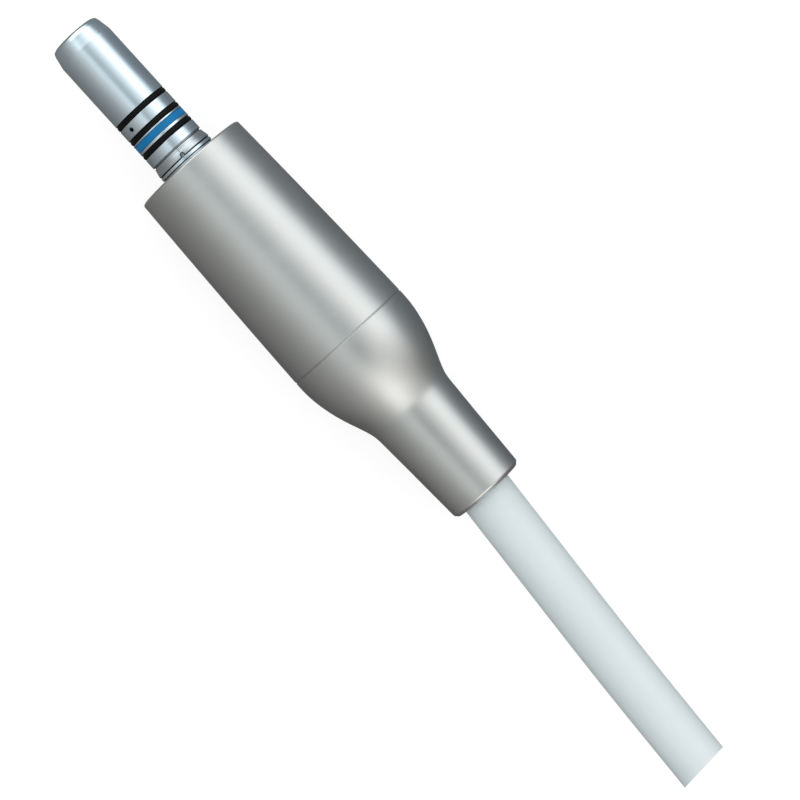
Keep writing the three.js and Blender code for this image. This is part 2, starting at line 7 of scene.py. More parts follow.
import json
import math

import bmesh
import bpy
import numpy as np
from mathutils import Matrix, Vector


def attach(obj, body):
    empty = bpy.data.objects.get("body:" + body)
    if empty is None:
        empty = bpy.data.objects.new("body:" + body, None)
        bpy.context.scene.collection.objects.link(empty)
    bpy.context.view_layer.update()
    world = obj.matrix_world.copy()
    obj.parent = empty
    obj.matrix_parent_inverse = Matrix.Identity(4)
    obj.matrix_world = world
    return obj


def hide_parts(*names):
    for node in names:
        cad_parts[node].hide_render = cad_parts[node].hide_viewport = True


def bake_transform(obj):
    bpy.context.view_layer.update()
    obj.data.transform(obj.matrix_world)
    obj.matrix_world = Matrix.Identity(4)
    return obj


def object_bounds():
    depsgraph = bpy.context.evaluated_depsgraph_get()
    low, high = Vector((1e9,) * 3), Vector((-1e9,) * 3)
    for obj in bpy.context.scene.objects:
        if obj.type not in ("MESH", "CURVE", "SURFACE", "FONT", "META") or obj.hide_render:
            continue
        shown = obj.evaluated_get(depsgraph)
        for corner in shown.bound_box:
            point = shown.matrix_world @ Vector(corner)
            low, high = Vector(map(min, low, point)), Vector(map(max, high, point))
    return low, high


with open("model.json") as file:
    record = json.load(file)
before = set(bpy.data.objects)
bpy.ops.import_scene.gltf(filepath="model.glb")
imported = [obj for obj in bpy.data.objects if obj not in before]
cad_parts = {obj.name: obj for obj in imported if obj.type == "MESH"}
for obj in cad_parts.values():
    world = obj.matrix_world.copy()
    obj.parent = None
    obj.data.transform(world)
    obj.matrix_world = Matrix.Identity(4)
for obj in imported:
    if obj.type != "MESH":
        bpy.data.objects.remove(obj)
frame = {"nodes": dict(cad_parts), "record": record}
cad_lo, cad_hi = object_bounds()
scene = bpy.context.scene

MM = 0.001
ORIGIN_X = 47.394  # the frame's origin, this far behind the barrel's front face


# ==================================================================== outlines
# An outline is a list of (x, r) to be turned about the X axis. A corner may carry a third
# number, the radius of its rounding.


def spline(points, count):
    """Natural cubic spline through the points, sampled at count places."""
    xs, ys = np.array(points, float).T
    size = len(xs)
    gap = np.diff(xs)
    system = np.zeros((size, size))
    target = np.zeros(size)
    system[0, 0] = system[-1, -1] = 1
    for i in range(1, size - 1):
        system[i, i - 1 : i + 2] = gap[i - 1], 2 * (gap[i - 1] + gap[i]), gap[i]
        target[i] = 6 * ((ys[i + 1] - ys[i]) / gap[i] - (ys[i] - ys[i - 1]) / gap[i - 1])
    bend = np.linalg.solve(system, target)
    out = []
    for x in np.linspace(xs[0], xs[-1], count):
        i = min(max(int(np.searchsorted(xs, x)) - 1, 0), size - 2)
        past, left = x - xs[i], xs[i + 1] - x
        y = (bend[i] * left**3 + bend[i + 1] * past**3) / (6 * gap[i])
        y += (ys[i] / gap[i] - bend[i] * gap[i] / 6) * left
        y += (ys[i + 1] / gap[i] - bend[i + 1] * gap[i] / 6) * past
        out.append((float(x), float(y)))
    return out


def rounded(points, closed=True, steps=6):
    """The outline with an arc at each corner that carries a radius."""
    out = []
    count = len(points)
    for i, point in enumerate(points):
        corner = np.array(point[:2], float)
        radius = point[2] if len(point) > 2 else 0
        if radius <= 0 or (not closed and i in (0, count - 1)):
            out.append(tuple(corner))
            continue
        before = np.array(points[i - 1][:2], float) - corner
        after = np.array(points[(i + 1) % count][:2], float) - corner
        len_before, len_after = np.linalg.norm(before), np.linalg.norm(after)
        before, after = before / len_before, after / len_after
        half = math.acos(float(np.clip(before @ after, -1, 1))) / 2
        # the arc takes up less than half of either side
        setback = min(radius / math.tan(half), len_before * 0.48, len_after * 0.48)
        radius = setback * math.tan(half)
        middle = before + after
        centre = corner + middle / np.linalg.norm(middle) * (radius / math.sin(half))
        start = math.atan2(*(corner + before * setback - centre)[::-1])
        end = math.atan2(*(corner + after * setback - centre)[::-1])
        turn = (end - start + math.pi) % (2 * math.pi) - math.pi
        for k in range(steps + 1):
            angle = start + turn * k / steps
            out.append((centre[0] + radius * math.cos(angle), centre[1] + radius * math.sin(angle)))
    return out


def supported(points, closed=True):
    """Extra points near each corner and along long stretches keep smooth shading true."""
    near, far = 0.05, 1.0  # distance from a corner, and greatest spacing
    out = []
    for i in range(len(points) if closed else len(points) - 1):
        a, b = np.array(points[i], float), np.array(points[(i + 1) % len(points)], float)
        out.append(tuple(a))
        length = float(np.linalg.norm(b - a))
        if length > 0.3:
            inner = np.linspace(near, length - near, max(2, int(length / far) + 1))[1:-1]
            stops = [near] + list(inner) + [length - near]
            out += [tuple(a + (b - a) * stop / length) for stop in stops]
    if not closed:
        out.append(tuple(points[-1]))
    return out


# ==================================================================== meshes
def shade(obj, sharp=32):
    """Smooth shading, with edges over sharp degrees kept crisp."""
    obj.data.polygons.foreach_set("use_smooth", [True] * len(obj.data.polygons))
    obj.data.set_sharp_from_angle(angle=math.radians(sharp))
    obj.data.update()


def make(name, verts, faces, look=None, sharp=32):
    """A mesh object from vertices in millimetres, with faces turned out."""
    mesh = bpy.data.meshes.new(name)
    mesh.from_pydata([((x - ORIGIN_X) * MM, y * MM, z * MM) for x, y, z in verts], [], faces)
    bm = bmesh.new()
    bm.from_mesh(mesh)
    bmesh.ops.remove_doubles(bm, verts=bm.verts, dist=2e-7)
    bmesh.ops.recalc_face_normals(bm, faces=bm.faces)
    bm.to_mesh(mesh)
    bm.free()
    mesh.update()
    obj = bpy.data.objects.new(name, mesh)
    scene.collection.objects.link(obj)
    shade(obj, sharp)
    if look:
        mesh.materials.append(materials[look])
    return obj


def fit(obj, nodes=(), body=None):
    """Tells the frame which body carries the object, which nodes it replaces."""
    if body:
        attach(obj, body)
    if nodes:
        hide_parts(*nodes)
    return obj


def loft(rings, closed=False, capped=False):
    """Vertices and faces of a skin over rings of points. A ring of one point makes a pole."""
    verts, index, faces = [], [], []
    for ring in rings:
        index.append(range(len(verts), len(verts) + len(ring)))
        verts += ring
    for a, b in zip(index, index[1:] + (index[:1] if closed else [])):
        count = max(len(a), len(b))
        for k in range(count):
            j = (k + 1) % count
            if len(a) == 1:
                faces.append((a[0], b[j], b[k]))
            elif len(b) == 1:
                faces.append((a[k], a[j], b[0]))
            else:
                faces.append((a[k], a[j], b[j], b[k]))
    if capped:
        faces += [tuple(index[0][::-1]), tuple(index[-1])]
    return verts, faces


def axis_ring(x, radii, at=(0, 0)):
    """Points about the line y, z = at, one for each radius."""
    out = []
    for k, r in enumerate(radii):
        angle = 2 * math.pi * k / len(radii)
        out.append((x, at[0] - r * math.sin(angle), at[1] + r * math.cos(angle)))
    return out


def turned(name, outline, segments, look, closed=True, at=(0, 0), support=True):
    """A body of revolution about the line y, z = at. An open outline ends on that line."""
    rings = []
    for x, r in supported(outline, closed) if support else outline:
        rings.append([(x, at[0], at[1])] if r < 1e-6 else axis_ring(x, [r] * segments, at))
    return make(name, *loft(rings, closed), look)


def bar(name, centres, frames, radius, count, look=None):
    """A round bar along centres. frames holds (side, up) for each centre."""
    rings = []
    for centre, (side, up) in zip(centres, frames):
        ring = []
        for k in range(count):
            a = 2 * math.pi * k / count
            across = np.array(centre) + np.array(side) * radius * math.cos(a)
            ring.append(tuple(across + np.array(up) * radius * math.sin(a)))
        rings.append(ring)
    return make(name, *loft(rings, capped=True), look, sharp=40)


def polar(degrees, r):
    """The (y, z) at an angle from +Z towards -Y."""
    a = math.radians(degrees)
    return -r * math.sin(a), r * math.cos(a)


def rod_tool(centre, way, radius, length):
    """A round cutter along way."""
    way = Vector(way).normalized()
    side = way.orthogonal().normalized()
    up = way.cross(side)
    ends = [Vector(centre) - way * length / 2, Vector(centre) + way * length / 2]
    return bar("tool", ends, [(side, up)] * 2, radius, 40)


def slot_tool(x_front, x_rear, half_width):
    """A box cutter that passes right through the drive dog along Z."""
    verts = [(x, y, z) for x in (x_front, x_rear) for y in (-half_width, half_width) for z in (-3, 3)]
    faces = [(0, 1, 3, 2), (4, 6, 7, 5), (0, 4, 5, 1), (2, 3, 7, 6), (0, 2, 6, 4), (1, 5, 7, 3)]
    return make("tool", verts, faces)


def cut(obj, *tools):
    """Takes the tools out of the object, and removes them."""
    for tool in tools:
        modifier = obj.modifiers.new("cut", "BOOLEAN")
        modifier.operation, modifier.solver, modifier.object = "DIFFERENCE", "EXACT", tool
    bpy.context.view_layer.update()
    graph = bpy.context.evaluated_depsgraph_get()
    mesh = bpy.data.meshes.new_from_object(obj.evaluated_get(graph))
    obj.modifiers.clear()
    uncut = obj.data
    obj.data = mesh
    bpy.data.meshes.remove(uncut)
    mesh.name = obj.name
    for tool in tools:
        bpy.data.objects.remove(tool)
    shade(obj)
    return obj


def mark_edges(obj):
    """Stores how far each vertex stands out: 0.5 on a flat, more on a raised edge."""
    mesh = obj.data
    vert_count, edge_count = len(mesh.vertices), len(mesh.edges)
    places, normals = np.empty(vert_count * 3), np.empty(vert_count * 3)
    ends = np.empty(edge_count * 2, dtype=np.int32)
    mesh.vertices.foreach_get("co", places)
    mesh.vertices.foreach_get("normal", normals)
    mesh.edges.foreach_get("vertices", ends)
    places, normals = places.reshape(-1, 3), normals.reshape(-1, 3)
    first, second = ends.reshape(-1, 2).T
    way = places[second] - places[first]
    way /= np.maximum(np.linalg.norm(way, axis=1), 1e-12)[:, None]
    total, count = np.zeros((vert_count, 3)), np.zeros(vert_count)
    np.add.at(total, first, way)
    np.add.at(total, second, -way)
    np.add.at(count, ends, 1)
    lean = (total / np.maximum(count, 1)[:, None] * normals).sum(axis=1)
    raw = np.arccos(np.clip(lean, -1, 1)) / math.pi
    soft = raw.copy()  # averaged with the neighbours
    np.add.at(soft, first, raw[second])
    np.add.at(soft, second, raw[first])
    raised = mesh.attributes.new("raised", "FLOAT", "POINT")
    raised.data.foreach_set("value", (soft / (count + 1)).astype(np.float32))


# ==================================================================== node graphs
class Graph:
    """Short calls for building a tree of shader nodes."""

    def __init__(self, tree):
        self.tree = tree
        self.coord = None

    def node(self, kind):
        return self.tree.nodes.new("ShaderNode" + kind)

    def put(self, socket, value):
        """Links a socket, or sets a value; three numbers are a colour."""
        if isinstance(value, bpy.types.NodeSocket):
            self.tree.links.new(value, socket)
        else:
            is_rgb = isinstance(value, tuple) and len(value) == 3
            socket.default_value = (*value, 1) if is_rgb else value

    def math(self, operation, *values):
        node = self.node("Math")
        node.operation = operation
        for socket, value in zip(node.inputs, values):
            self.put(socket, value)
        return node.outputs[0]

    def plus(self, a, b):
        return self.math("ADD", a, b)

    def minus(self, a, b):
        return self.math("SUBTRACT", a, b)

    def times(self, a, b):
        return self.math("MULTIPLY", a, b)

    def span(self, value, source, to=(0, 1), kind="LINEAR"):
        """Maps the range source onto the range to, and holds it there."""
        node = self.node("MapRange")
        node.interpolation_type = kind
        node.clamp = True
        for k, item in enumerate((value, *source, *to)):
            self.put(node.inputs[k], item)
        return node.outputs[0]

    def mix(self, factor, a, b):
        node = self.node("Mix")
        node.data_type = "RGBA"
        for k, item in zip((0, 6, 7), (factor, a, b)):
            self.put(node.inputs[k], item)
        return node.outputs[2]

    def mix_shader(self, factor, a, b):
        node = self.node("MixShader")
        for k, item in enumerate((factor, a, b)):
            self.put(node.inputs[k], item)
        return node.outputs[0]

    def ray(self, kind):
        return self.node("LightPath").outputs[kind]

    def noise(self, scale, detail=3, rough=0.55, vector=None, distortion=0.0):
        node = self.node("TexNoise")
        node.inputs["Scale"].default_value = scale
        node.inputs["Detail"].default_value = detail
        node.inputs["Roughness"].default_value = rough
        node.inputs["Distortion"].default_value = distortion
        vector = vector or self.coord
        if vector:
            self.put(node.inputs["Vector"], vector)
        return node.outputs["Fac"]

    def streaks(self, scale_xyz, detail, rough):
        """Noise with its own scale on each axis."""
        node = self.node("Mapping")
        node.inputs["Scale"].default_value = scale_xyz
        self.put(node.inputs["Vector"], self.coord)
        return self.noise(scale=1.0, detail=detail, rough=rough, vector=node.outputs["Vector"])

    def wave(self, direction, scale, distortion, detail=2.0):
        node = self.node("TexWave")
        node.wave_type, node.bands_direction = "BANDS", direction
        node.inputs["Scale"].default_value = scale
        node.inputs["Distortion"].default_value = distortion
        node.inputs["Detail"].default_value = detail
        self.put(node.inputs["Vector"], self.coord)
        return node.outputs["Fac"]

    def bump(self, height, strength, distance, normal=None):
        node = self.node("Bump")
        node.inputs["Strength"].default_value = strength
        node.inputs["Distance"].default_value = distance
        self.put(node.inputs["Height"], height)
        if normal:
            self.put(node.inputs["Normal"], normal)
        return node.outputs["Normal"]

    def shade_in_crevices(self, reach):
        """Near 1 deep in grooves and gaps: the mask for painted shade there."""
        node = self.node("AmbientOcclusion")
        node.samples = 6
        node.inputs["Distance"].default_value = reach
        return self.span(node.outputs["AO"], (0.4, 0.92), to=(1, 0))

    def edges(self):
        """Near 1 along raised edges."""
        node = self.node("Attribute")
        node.attribute_name = "raised"
        return self.span(node.outputs["Fac"], (0.53, 0.6))


class Surface(Graph):
    """A material. Its textures follow the object unless object_coord is off."""

    def __init__(self, name, object_coord=True):
        self.material = bpy.data.materials.new(name)
        self.material.use_nodes = True
        super().__init__(self.material.node_tree)
        self.bsdf = self.tree.nodes["Principled BSDF"]
        if object_coord:
            self.coord = self.node("TexCoord").outputs["Object"]

    def set(self, **values):
        """Fills the main shader's inputs: base_color stands for Base Color, and so on."""
        for key, value in values.items():
            socket = key.replace("_", " ").title().replace("Ior", "IOR")
            self.put(self.bsdf.inputs[socket], value)
        return self.material


def tinted(tone, factor):
    return tuple(min(1, v * factor) for v in tone)


# ==================================================================== materials
def satin_metal(name, tone, rough):
    """Bead-blasted metal: fine grain over faint turning marks, edges slightly polished and lightened
    by a painted highlight, grooves and gaps darkened by painted shade.
    """
    s = Surface(name)
    grain = s.noise(scale=9000, detail=2, rough=0.6)
    pits = s.noise(scale=3800, rough=0.65)
    marks = s.streaks((5200, 220, 220), detail=2, rough=0.5)
    cloud = s.noise(scale=95, detail=4, rough=0.6, distortion=0.4)
    # raised edges: real wear that lowers roughness, and a painted highlight in the colour
    edge_wear_and_highlight = s.edges()
    # painted shade: a mask that darkens grooves and gaps
    crevice_shade = s.shade_in_crevices(reach=0.00022)
    sheen = s.plus(s.span(cloud, (0.3, 0.7), to=(rough - 0.025, rough + 0.03)),
                   s.span(grain, (0.3, 0.7), to=(-0.02, 0.02)))
    sheen = s.minus(sheen, s.times(edge_wear_and_highlight, 0.1))
    color = s.mix(s.span(cloud, (0.35, 0.7)), tinted(tone, 0.97), tinted(tone, 1.03))
    color = s.mix(s.times(s.span(grain, (0.42, 0.62)), 0.10), color, tinted(tone, 0.8))
    # painted highlight: raised edges lightened in the colour
    color = s.mix(s.times(edge_wear_and_highlight, 0.5), color, tinted(tone, 1.22))
    # painted shade: grooves and the seam darkened in the colour
    color = s.mix(s.times(crevice_shade, 0.7), color, tinted(tone, 0.2))
    normal = s.bump(pits, strength=0.16, distance=0.000012)
    normal = s.bump(grain, strength=0.2, distance=0.000006, normal=normal)
    normal = s.bump(marks, strength=0.05, distance=0.000006, normal=normal)
    return s.set(base_color=color, metallic=1.0, roughness=s.plus(sheen, s.times(crevice_shade, 0.2)),
                 normal=normal)


def polished_steel(name, tone, rough):
    """Turned and polished steel: hair-fine rings round the axis, a few scuffs along it, grooves and
    holes darkened by painted shade.
    """
    s = Surface(name)
    rings = s.streaks((9000, 60, 60), detail=3, rough=0.6)
    scuff = s.streaks((120, 5200, 5200), detail=2, rough=0.5)
    patch = s.noise(scale=260, rough=0.6)
    # painted shade: a mask that darkens grooves and holes
    crevice_shade = s.shade_in_crevices(reach=0.0006)
    scuffs = s.times(s.span(scuff, (0.62, 0.72)), s.span(patch, (0.5, 0.62)))
    sheen = s.plus(s.span(rings, (0.3, 0.7), to=(rough - 0.03, rough + 0.03)),
                   s.times(scuffs, 0.14))
    sheen = s.plus(sheen, s.span(patch, (0.35, 0.65), to=(-0.015, 0.02)))
    color = s.mix(s.span(patch, (0.3, 0.7)), tinted(tone, 0.97), tone)
    # painted shade: grooves and holes darkened nearly to black in the colour
    color = s.mix(s.times(crevice_shade, 0.93), color, tinted(tone, 0.05))
    normal = s.bump(rings, strength=0.07, distance=0.000004)
    normal = s.bump(scuffs, strength=0.05, distance=0.000003, normal=normal)
    return s.set(base_color=color, metallic=1.0, roughness=s.plus(sheen, s.times(crevice_shade, 0.25)),
                 normal=normal)


def machined(name, tone, rough, pitch):
    """Turned metal with plain tool marks."""
    s = Surface(name)
    rings = s.streaks((pitch, 40, 40), detail=2, rough=0.5)
    grain = s.noise(scale=2600, rough=0.6)
    sheen = s.plus(s.span(rings, (0.3, 0.7), to=(rough - 0.05, rough + 0.06)),
                   s.span(grain, (0.3, 0.7), to=(-0.02, 0.02)))
    return s.set(base_color=s.mix(s.span(grain, (0.35, 0.65)), tinted(tone, 0.93), tone),
                 metallic=1.0, roughness=sheen,
                 normal=s.bump(rings, strength=0.12, distance=0.000012))


def rubber(name, tone, rough):
    """Moulded rubber: fine skin and a thin film of grease."""
    s = Surface(name)
    skin = s.noise(scale=5200, rough=0.6)
    film = s.noise(scale=900, rough=0.6)
    return s.set(base_color=s.mix(s.span(film, (0.5, 0.75), to=(0, 0.5)), tone, tinted(tone, 2.2)),
                 roughness=s.span(film, (0.3, 0.7), to=(rough - 0.1, rough + 0.12)),
                 normal=s.bump(skin, strength=0.18, distance=0.000014), specular_ior_level=0.11)


def plastic(name, tone, rough, coat=0.0, grain_scale=3000, grain=0.12, specular=0.5):
    """Plastic with a fine matt skin and slight mottling."""
    s = Surface(name)
    skin = s.noise(scale=grain_scale, rough=0.6)
    mottle = s.noise(scale=420)
    color = s.mix(s.span(mottle, (0.3, 0.7)), tinted(tone, 0.9), tinted(tone, 1.06))
    return s.set(base_color=color,
                 roughness=s.span(mottle, (0.3, 0.7), to=(rough - 0.05, rough + 0.07)),
                 normal=s.bump(skin, strength=grain, distance=0.000014),
                 coat_weight=coat, coat_roughness=0.15, specular_ior_level=specular)


def silicone(name, tone):
    """Extruded hose skin: soft scattering, a drag along its length, a little haze, with painted shade
    at its edges and where it runs into the sleeve.
    """
    s = Surface(name)
    skin = s.noise(scale=3200, rough=0.6)
    drag = s.streaks((45, 1500, 1500), detail=3, rough=0.6)
    haze = s.noise(scale=75, detail=4, rough=0.6, distortion=0.5)
    rim = s.node("LayerWeight")  # painted shade: darker towards the edges, where one looks along the wall
    rim.inputs["Blend"].default_value = 0.5
    painted_edge_shade_tone = tuple(v * w for v, w in zip(tone, (0.55, 0.6, 0.62)))
    color = s.mix(s.span(haze, (0.3, 0.75)), tone, tinted(tone, 0.955))
    color = s.mix(s.span(drag, (0.55, 0.8), to=(0, 0.35)), color, tinted(tone, 0.93))
    # painted shade: the colour darkens towards the hose's edges
    color = s.mix(s.span(rim.outputs["Facing"], (0.04, 0.8), to=(0, 0.46)), color, painted_edge_shade_tone)
    # painted shade: darker where the hose runs into the sleeve
    color = s.mix(s.times(s.shade_in_crevices(reach=0.0016), 0.35), color, tinted(tone, 0.6))
    normal = s.bump(drag, strength=0.08, distance=0.00002)
    normal = s.bump(skin, strength=0.08, distance=0.000012, normal=normal)
    s.bsdf.inputs["Subsurface Radius"].default_value = (1.0, 0.95, 0.9)
    return s.set(base_color=color, roughness=s.span(haze, (0.3, 0.7), to=(0.4, 0.52)),
                 normal=normal, subsurface_weight=0.25, subsurface_scale=0.0012,
                 specular_ior_level=0.4)


def clear(name, tone):
    """Clear glass with a little dust."""
    s = Surface(name)
    dust = s.noise(scale=1500, rough=0.6)
    return s.set(base_color=tone, roughness=s.span(dust, (0.45, 0.8), to=(0.03, 0.14)),
                 transmission_weight=1.0, ior=1.49,
                 normal=s.bump(dust, strength=0.03, distance=0.00001))


def laminated(name):
    """Edge of a stack of thin varnished sheets."""
    s = Surface(name)
    sheets = s.wave("X", scale=900, distortion=0.3)
    return s.set(base_color=s.mix(sheets, (0.10, 0.10, 0.115), (0.3, 0.31, 0.335)), metallic=0.85,
                 roughness=s.span(s.noise(scale=1800), (0.3, 0.7), to=(0.35, 0.5)),
                 normal=s.bump(sheets, strength=0.4, distance=0.00003))


def winding(name):
    """Enamelled wire laid side by side, potted."""
    s = Surface(name)
    wires = s.wave("DIAGONAL", scale=1400, distortion=1.2, detail=1.5)
    return s.set(base_color=s.mix(wires, (0.20, 0.055, 0.018), (0.62, 0.25, 0.085)), metallic=0.7,
                 roughness=s.span(s.noise(scale=1500), (0.3, 0.7), to=(0.25, 0.4)),
                 normal=s.bump(wires, strength=0.5, distance=0.00004),
                 coat_weight=0.4, coat_roughness=0.15)


LOOKS = {
    "satin_metal": (satin_metal, dict(tone=(0.57, 0.584, 0.576), rough=0.35)),
    "polished_steel": (polished_steel, dict(tone=(0.65, 0.755, 0.82), rough=0.205)),
    "collar_steel": (polished_steel, dict(tone=(0.53, 0.58, 0.61), rough=0.27)),
    "turned_metal": (machined, dict(tone=(0.5, 0.51, 0.52), rough=0.3, pitch=3500)),
    "bearing_steel": (machined, dict(tone=(0.58, 0.59, 0.61), rough=0.2, pitch=6000)),
    "lamination_steel": (laminated, {}),
    "magnet": (machined, dict(tone=(0.32, 0.33, 0.35), rough=0.3, pitch=1500)),
    "copper_winding": (winding, {}),
    "brass": (machined, dict(tone=(0.83, 0.58, 0.22), rough=0.22, pitch=4200)),
    "black_rubber": (rubber, dict(tone=(0.003, 0.003, 0.004), rough=0.46)),
    "blue_plastic": (plastic, dict(tone=(0.001, 0.165, 0.4), rough=0.34, grain_scale=6000,
                                   grain=0.06, specular=0.22)),
    "black_plastic": (plastic, dict(tone=(0.03, 0.03, 0.034), rough=0.45)),
    "cage_plastic": (plastic, dict(tone=(0.3, 0.14, 0.055), rough=0.5)),
    "lamp_plastic": (plastic, dict(tone=(0.75, 0.7, 0.5), rough=0.4)),
    "lens_glass": (clear, dict(tone=(0.93, 0.96, 0.97))),
    "hose_silicone": (silicone, dict(tone=(0.675, 0.745, 0.757))),
    "blue_tubing": (plastic, dict(tone=(0.16, 0.4, 0.62), rough=0.3, coat=0.2)),
    "clear_tubing": (plastic, dict(tone=(0.78, 0.79, 0.74), rough=0.3, coat=0.2)),
    "cable_sheath": (rubber, dict(tone=(0.05, 0.05, 0.056), rough=0.5)),
}
materials = {name: build(name, **options) for name, (build, options) in LOOKS.items()}

slot_of = {part["node"]: part["material_slot"] for part in frame["record"]["subparts"]}
for node, obj in frame["nodes"].items():
    obj.data.materials.clear()
    obj.data.materials.append(materials[slot_of[node]])

# ==================================================================== coupling nose
FINE_SEGMENTS, RING_SEGMENTS, SKIN_SEGMENTS = 224, 160, 288
NOSE_R = 4.7
NOSE_FRONT = -25.98
SHOULDER_R = 4.86  # the band behind the retaining ring
FLANGE_R = 8.66
BORE_R = 2.6
ORING_X = {"front": -10.85, "middle": -7.94, "rear": -5.12}
BLUE_RING_X = -6.62
PORTS = [(-9.38, 42), (-3.85, 222)]  # x and angle of the water port, then the air port
LENS_AT = polar(180, 3.3)


def groove(x, floor_r, half_width, lip=0.06):
    front, rear = x - half_width, x + half_width
    return [(front, NOSE_R, lip), (front, floor_r, 0.08), (rear, floor_r, 0.08), (rear, NOSE_R, lip)]


nose_outline = (
    [(NOSE_FRONT, 2.78, 0.1), (NOSE_FRONT, 3.55)]
    + spline([(-25.96, 3.68), (-25.84, 3.95), (-25.56, 4.19), (-25.15, 4.335)], 16)
    + [(-24.6, 4.43), (-23.2, NOSE_R, 0.7)]
    + groove(ORING_X["front"], 3.76, 0.47)
    + groove(ORING_X["middle"], 3.76, 0.47)
    + groove(BLUE_RING_X, 3.82, 0.6, lip=0.05)
    + groove(ORING_X["rear"], 3.76, 0.47)
    # the retaining ring's seat and the shoulder behind it, with a fine line cut in
    + [(-3.03, NOSE_R, 0.05), (-3.03, 4.42, 0.05), (-2.8, 4.42, 0.03), (-2.8, 4.0), (-1.08, 4.0),
       (-1.08, SHOULDER_R, 0.06), (-0.6, SHOULDER_R, 0.05), (-0.6, 4.6, 0.04), (-0.42, 4.6, 0.04),
       (-0.42, SHOULDER_R, 0.05), (1.65, SHOULDER_R)]
    # the flange inside the barrel, and the bore
    + [(1.65, FLANGE_R), (7.6, FLANGE_R), (7.6, 4.05), (3.35, 4.05), (3.35, BORE_R),
       (-25.8, BORE_R, 0.06)]
)
nose = turned("coupling_nose_fine", rounded(nose_outline), FINE_SEGMENTS, "polished_steel")
nose_tools = []
for x, angle in PORTS:
    y, z = polar(angle, 1)
    nose_tools.append(rod_tool((x, y * 4.0, z * 4.0), (0, y, z), radius=0.36, length=2.6))
    # a shallow, wider mouth
    mouth = (x, y * NOSE_R, z * NOSE_R)
    nose_tools.append(rod_tool(mouth, (0, y, z), radius=0.44, length=0.14))
nose_tools.append(rod_tool((-23.4, *LENS_AT), (1, 0, 0), radius=0.52, length=6.4))
fit(cut(nose, *nose_tools), ["coupling_nose"], "motor")

# -------------------------------------------------------------------- O-rings and blue ring
for place, x in ORING_X.items():
    section = []
    for i in range(36):  # a round section that has taken a little set in its groove
        c, s = math.cos(2 * math.pi * i / 36), math.sin(2 * math.pi * i / 36)
        section.append((x + math.copysign(0.462 * abs(c) ** 0.78, c),
                        4.26 + math.copysign(0.45 * abs(s) ** 0.78, s)))
    oring = turned(f"oring_{place}_fine", section, RING_SEGMENTS, "black_rubber", support=False)
    fit(oring, [f"oring_{place}"], "motor")

ring_front, ring_rear = BLUE_RING_X - 0.56, BLUE_RING_X + 0.56
blue_outline = [(ring_front, 3.92), (ring_front, 4.68, 0.09), (ring_rear, 4.68, 0.09),
                (ring_rear, 3.92)]
blue_ring = turned("blue_ring_fine", rounded(blue_outline), RING_SEGMENTS, "blue_plastic")
fit(blue_ring, ["blue_ring"], "motor")

# -------------------------------------------------------------------- retaining ring
collar_outline = (
    [(-2.72, 4.28), (-2.72, 4.6, 0.05)]
    + spline([(-2.66, 4.64), (-2.3, 4.69), (-1.9, 4.8), (-1.5, 4.87)], 12)
    + [(-1.23, 4.88, 0.12), (-1.22, 4.28)]
)
# (x, y) of a hairline split that opens into a notch towards the rear, cut down from above
NOTCH = [(-3.1, -0.03), (-1.84, -0.03), (-1.78, -0.28), (-1.66, -0.38), (-1.1, -0.42),
         (-1.1, 0.42), (-1.66, 0.38), (-1.78, 0.28), (-1.84, 0.03), (-3.1, 0.03)]
collar = turned("retaining_ring_fine", rounded(collar_outline), FINE_SEGMENTS, "collar_steel")
notch_faces = [tuple(range(9, -1, -1)), tuple(range(10, 20))]
notch_faces += [(i, (i + 1) % 10, 10 + (i + 1) % 10, 10 + i) for i in range(10)]
notch_tool = make("tool", [(x, y, z) for z in (3.2, 6.2) for x, y in NOTCH], notch_faces)
fit(cut(collar, notch_tool), ["retaining_ring"], "motor")

# -------------------------------------------------------------------- lens in the nose's face
lens_outline = [(-25.8 + 0.34 * (1 - math.cos(t)), 0.4 * math.sin(t))
                for t in np.linspace(0, math.pi / 2, 10)]
lens_outline += [(-24.3, 0.4), (-24.3, 0.0)]
lens = turned("light_lens_fine", lens_outline, 32, "lens_glass", closed=False, at=LENS_AT,
              support=False)
fit(lens, ["light_lens"], "motor")

# -------------------------------------------------------------------- drive dog and its spring
# The dog is a sleeve with a fork at the front and a slot for its cross pin.
dog_outline = [
    (-20.0, 0.0), (-20.0, 1.58, 0.05), (-13.0, 1.58, 0.05), (-13.0, 2.1, 0.1),
    (-23.5, 2.1, 0.16), (-23.5, 0.8, 0.08), (-20.6, 0.8, 0.05), (-20.6, 0.0),
]
dog = turned("drive_dog_fine", rounded(dog_outline, closed=False), 96, "bearing_steel",
             closed=False)
cut(dog, slot_tool(-24.2, -21.6, half_width=0.6), slot_tool(-16.95, -14.55, half_width=0.42))
fit(dog, ["drive_dog"], "dog")

# The spring closes up between the rotor's tip and the dog.
SPRING_FRONT, SPRING_REAR = -19.8, -16.7
SPRING_R = 1.2
COILS, COIL_STEPS = 4, 40
spring_length = SPRING_REAR - SPRING_FRONT
coil_centres, coil_frames = [], []
for i in range(COILS * COIL_STEPS + 1):
    a = 2 * math.pi * i / COIL_STEPS
    c, s = math.cos(a), math.sin(a)
    x = SPRING_FRONT + spring_length * i / (COILS * COIL_STEPS)
    coil_centres.append((x, SPRING_R * c, SPRING_R * s))
    out = np.array([0.0, c, s])
    along = np.array([spring_length / COILS / (2 * math.pi), -SPRING_R * s, SPRING_R * c])
    coil_frames.append((out, np.cross(along / np.linalg.norm(along), out)))
spring = bar("drive_spring_fine", coil_centres, coil_frames, 0.15, 12, "bearing_steel")
fit(spring, ["drive_spring"])
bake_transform(spring)

